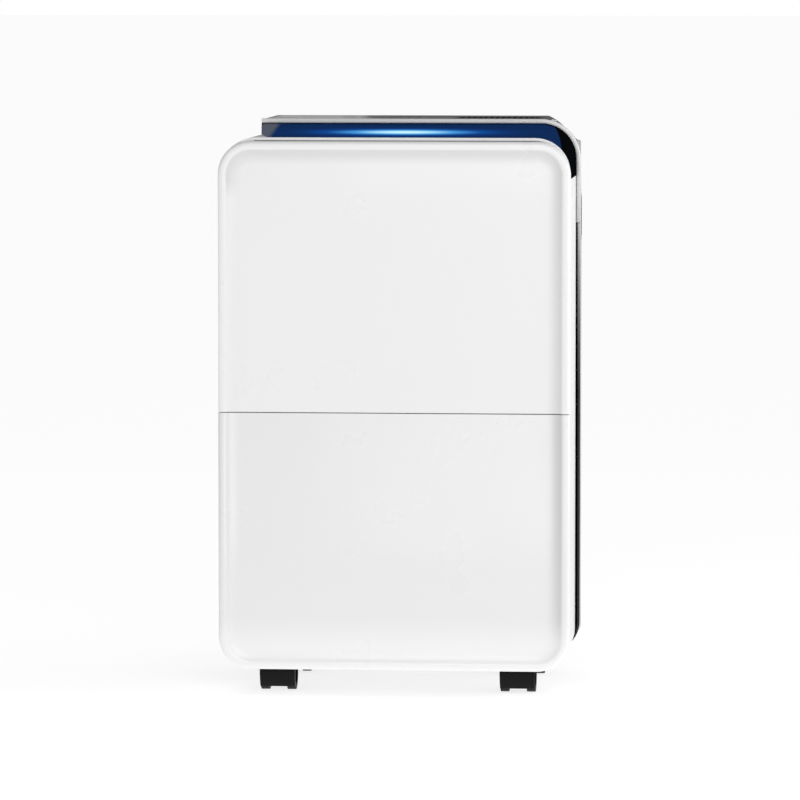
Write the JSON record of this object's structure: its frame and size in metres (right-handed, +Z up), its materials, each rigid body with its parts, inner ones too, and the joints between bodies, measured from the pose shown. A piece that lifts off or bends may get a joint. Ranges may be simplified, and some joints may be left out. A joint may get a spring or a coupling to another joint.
{
  "type": "portable dehumidifier",
  "caption": "Upright portable dehumidifier with a front-loading bucket, sloping lit console over one shoulder, top outlet, rear inlet filter and twin-wheel casters.",
  "frame": {"origin": "on the floor, under the middle of the case", "axes": "+X to the viewer's right, -Y out of the front panel, +Z up"},
  "size_m": [0.36, 0.254, 0.5745],
  "materials": {
    "white_gloss": "moulded white, gloss",
    "white_satin": "moulded white, satin",
    "silver_trim": "silver paint",
    "black_gloss": "piano black",
    "grey_plastic": "moulded grey",
    "black_satin": "fine grain",
    "smoked_skin": "smoked, polished",
    "light": "frosted, lit",
    "board": "solder mask",
    "key": "soft touch",
    "filter_plastic": "moulded",
    "mesh": "woven nylon",
    "steel": "zinc plated",
    "aluminium": "plain fin stock",
    "tray_plastic": "moulded",
    "copper": "drawn copper",
    "black_metal": "black enamel",
    "rubber": "moulded",
    "tub_plastic": "milky",
    "lid_plastic": "moulded",
    "float_plastic": "foam",
    "switch_red": "moulded",
    "caster_plastic": "nylon, satin",
    "wheel_plastic": "nylon"
  },
  "bodies": {
    "case": {"upper_front_cover": "white_gloss", "front_body": "white_satin", "trim_ring": "silver_trim", "rear_shell": "black_gloss", "base_pan": "grey_plastic", "chassis": "grey_plastic", "top_deck": "black_gloss", "outlet_grille": "black_satin", "display_skin": "smoked_skin", "light_guide": "light", "display_board": "board", "console_tray": "black_satin", "inlet_grille": "black_satin", "grip_left": "black_satin", "grip_right": "black_satin", "drain_nozzle": "black_satin", "cord_gland": "black_satin", "rear_screws": "steel", "control_board": "board", "run_capacitor": "aluminium", "humidity_sensor": "white_satin", "drip_tray": "tray_plastic", "evaporator_fins": "aluminium", "evaporator_tube": "copper", "condenser_fins": "aluminium", "condenser_tube": "copper", "compressor": "black_metal", "compressor_feet": "rubber", "accumulator": "black_metal", "fan_scroll": "grey_plastic", "fan_motor": "steel", "motor_bracket": "steel", "bucket_switch": "black_satin"},
    "bucket": {"bucket_front": "white_gloss", "bucket_tub": "tub_plastic", "bucket_lid": "lid_plastic"},
    "bail": {"bucket_bail": "black_satin"},
    "float": {"float": "float_plastic"},
    "filter": {"filter_frame": "filter_plastic", "filter_mesh": "mesh"},
    "fan": {"fan_impeller": "black_satin"},
    "plunger": {"switch_plunger": "switch_red"},
    "louver_a": {"louver_1": "black_satin"},
    "louver_b": {"louver_2": "black_satin"},
    "louver_c": {"louver_3": "black_satin"},
    "key_power_body": {"key_power": "key"},
    "key_mode_body": {"key_mode": "key"},
    "key_fan_body": {"key_fan": "key"},
    "key_up_body": {"key_up": "key"},
    "key_down_body": {"key_down": "key"},
    "swivel_front_left": {"caster_front_left": "caster_plastic"},
    "rollers_front_left": {"wheels_front_left": "wheel_plastic"},
    "swivel_front_right": {"caster_front_right": "caster_plastic"},
    "rollers_front_right": {"wheels_front_right": "wheel_plastic"},
    "swivel_rear_left": {"caster_rear_left": "caster_plastic"},
    "rollers_rear_left": {"wheels_rear_left": "wheel_plastic"},
    "swivel_rear_right": {"caster_rear_right": "caster_plastic"},
    "rollers_rear_right": {"wheels_rear_right": "wheel_plastic"}
  },
  "joints": [
    {"name": "bucket_slide", "type": "slide", "parent": "case", "child": "bucket", "axis": [0, -1, 0], "range_m": [0, 0.16]},
    {"name": "bail_hinge", "type": "hinge", "parent": "bucket", "child": "bail", "pos_m": [0, -0.056, 0.2254], "axis": [-1, 0, 0], "range_deg": [0, 90]},
    {"name": "float_hinge", "type": "hinge", "parent": "bucket", "child": "float", "pos_m": [0.112, -0.011, 0.1946], "axis": [-1, 0, 0], "range_deg": [0, 22]},
    {"name": "filter_pull", "type": "slide", "parent": "case", "child": "filter", "axis": [0, 1, 0], "range_m": [0, 0.06]},
    {"name": "fan_spin", "type": "hinge", "parent": "case", "child": "fan", "pos_m": [0.035, -0.007, 0.4155], "axis": [0, 1, 0], "continuous": true},
    {"name": "plunger_press", "type": "slide", "parent": "case", "child": "plunger", "axis": [0, 1, 0], "range_m": [0, 0.0012], "stiffness_N_per_m": 300},
    {"name": "key_power_press", "type": "slide", "parent": "case", "child": "key_power_body", "axis": [0, 0, -1], "range_m": [0, 0.0012], "stiffness_N_per_m": 500},
    {"name": "key_mode_press", "type": "slide", "parent": "case", "child": "key_mode_body", "axis": [0, 0, -1], "range_m": [0, 0.0012], "stiffness_N_per_m": 500},
    {"name": "key_fan_press", "type": "slide", "parent": "case", "child": "key_fan_body", "axis": [0, 0, -1], "range_m": [0, 0.0012], "stiffness_N_per_m": 500},
    {"name": "key_up_press", "type": "slide", "parent": "case", "child": "key_up_body", "axis": [0, 0, -1], "range_m": [0, 0.0012], "stiffness_N_per_m": 500},
    {"name": "key_down_press", "type": "slide", "parent": "case", "child": "key_down_body", "axis": [0, 0, -1], "range_m": [0, 0.0012], "stiffness_N_per_m": 500},
    {"name": "louver_a_tilt", "type": "hinge", "parent": "case", "child": "louver_a", "pos_m": [0.095, 0.001, 0.561], "axis": [1, 0, 0], "range_deg": [-40, 40]},
    {"name": "louver_b_tilt", "type": "hinge", "parent": "case", "child": "louver_b", "pos_m": [0.095, 0.02, 0.561], "axis": [1, 0, 0], "range_deg": [-40, 40]},
    {"name": "louver_c_tilt", "type": "hinge", "parent": "case", "child": "louver_c", "pos_m": [0.095, 0.039, 0.561], "axis": [1, 0, 0], "range_deg": [-40, 40]},
    {"name": "swivel_front_left_turn", "type": "hinge", "parent": "case", "child": "swivel_front_left", "pos_m": [-0.121, -0.077, 0.0413], "axis": [0, 0, 1], "continuous": true},
    {"name": "rollers_front_left_spin", "type": "hinge", "parent": "swivel_front_left", "child": "rollers_front_left", "pos_m": [-0.121, -0.066, 0.0175], "axis": [1, 0, 0], "continuous": true},
    {"name": "swivel_front_right_turn", "type": "hinge", "parent": "case", "child": "swivel_front_right", "pos_m": [0.121, -0.077, 0.0413], "axis": [0, 0, 1], "continuous": true},
    {"name": "rollers_front_right_spin", "type": "hinge", "parent": "swivel_front_right", "child": "rollers_front_right", "pos_m": [0.121, -0.066, 0.0175], "axis": [1, 0, 0], "continuous": true},
    {"name": "swivel_rear_left_turn", "type": "hinge", "parent": "case", "child": "swivel_rear_left", "pos_m": [-0.121, 0.075, 0.0413], "axis": [0, 0, 1], "continuous": true},
    {"name": "rollers_rear_left_spin", "type": "hinge", "parent": "swivel_rear_left", "child": "rollers_rear_left", "pos_m": [-0.121, 0.086, 0.0175], "axis": [1, 0, 0], "continuous": true},
    {"name": "swivel_rear_right_turn", "type": "hinge", "parent": "case", "child": "swivel_rear_right", "pos_m": [0.121, 0.075, 0.0413], "axis": [0, 0, 1], "continuous": true},
    {"name": "rollers_rear_right_spin", "type": "hinge", "parent": "swivel_rear_right", "child": "rollers_rear_right", "pos_m": [0.121, 0.086, 0.0175], "axis": [1, 0, 0], "continuous": true}
  ],
  "couplings": [
    {"joint": "louver_b_tilt", "follows": "louver_a_tilt", "ratio": 1},
    {"joint": "louver_c_tilt", "follows": "louver_a_tilt", "ratio": 1}
  ]
}
